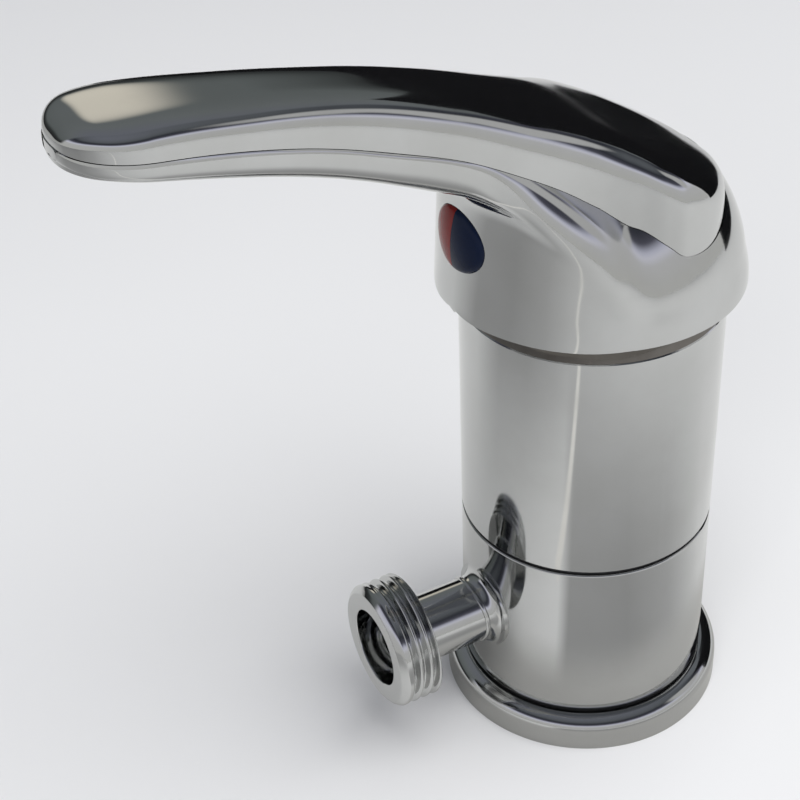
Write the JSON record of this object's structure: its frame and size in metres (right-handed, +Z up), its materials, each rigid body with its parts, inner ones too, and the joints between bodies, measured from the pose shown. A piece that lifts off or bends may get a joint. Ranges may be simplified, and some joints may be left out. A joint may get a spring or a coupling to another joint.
{
  "type": "shower mixer tap",
  "caption": "Chromed single lever mixer tap on a round base, with a swivelling threaded hose outlet, a curved lever and a ceramic disc cartridge inside.",
  "frame": {"origin": "on the body's upright axis, in the plane of the deck that the base ring stands on", "axes": "+Z up along the body's axis, -Y towards the lever's tip and the hose outlet, +X to the right of someone who faces +Y, the cold side of the mark"},
  "size_m": [0.0468, 0.103, 0.127],
  "materials": {
    "polished_chrome": "polished chrome plate",
    "brass": "machined",
    "spindle_steel": "machined",
    "spring_steel": "blackened",
    "seal_rubber": "matte",
    "slip_plastic": "moulded, slippery",
    "cartridge_plastic": "moulded",
    "turret_plastic": "moulded",
    "ceramic": "lapped ceramic",
    "plug_plastic": "gloss",
    "red_plastic": "gloss",
    "blue_plastic": "gloss"
  },
  "bodies": {
    "root": {"base_ring": "polished_chrome", "base_gasket": "seal_rubber", "retaining_clip": "spring_steel", "lower_slip_ring": "slip_plastic", "upper_slip_ring": "slip_plastic", "stem_seal_lower": "seal_rubber", "stem_seal_upper": "seal_rubber", "body": "polished_chrome", "cartridge_base": "cartridge_plastic", "port_seals": "seal_rubber", "disc_seals": "seal_rubber", "fixed_disc": "ceramic", "cartridge_housing": "cartridge_plastic", "cartridge_nut": "brass", "dome_cover": "polished_chrome"},
    "outlet": {"outlet_sleeve": "polished_chrome", "outlet_nipple": "polished_chrome"},
    "turret": {"turret": "turret_plastic", "turret_seal": "seal_rubber", "spindle_pin": "spindle_steel"},
    "lever": {"spindle": "spindle_steel", "handle": "polished_chrome", "handle_screw": "spring_steel", "indicator_plug": "plug_plastic", "hot_mark": "red_plastic", "cold_mark": "blue_plastic"},
    "disc": {"moving_disc": "ceramic", "disc_carrier": "turret_plastic"}
  },
  "joints": [
    {"name": "handle_turn", "type": "hinge", "parent": "root", "child": "turret", "pos_m": [0, 0, 0.072], "axis": [0, 0, 1], "range_deg": [-50, 50]},
    {"name": "handle_lift", "type": "hinge", "parent": "turret", "child": "lever", "pos_m": [0, 0, 0.072], "axis": [-1, 0, 0], "range_deg": [0, 25]},
    {"name": "disc_slide", "type": "slide", "parent": "turret", "child": "disc", "axis": [0, -1, 0], "range_m": [0, 0.0047]},
    {"name": "outlet_swivel", "type": "hinge", "parent": "root", "child": "outlet", "pos_m": [0, 0, 0.0207], "axis": [0, 0, 1], "continuous": true}
  ],
  "couplings": [
    {"joint": "disc_slide", "follows": "handle_lift", "m_per_rad": 0.010715}
  ]
}
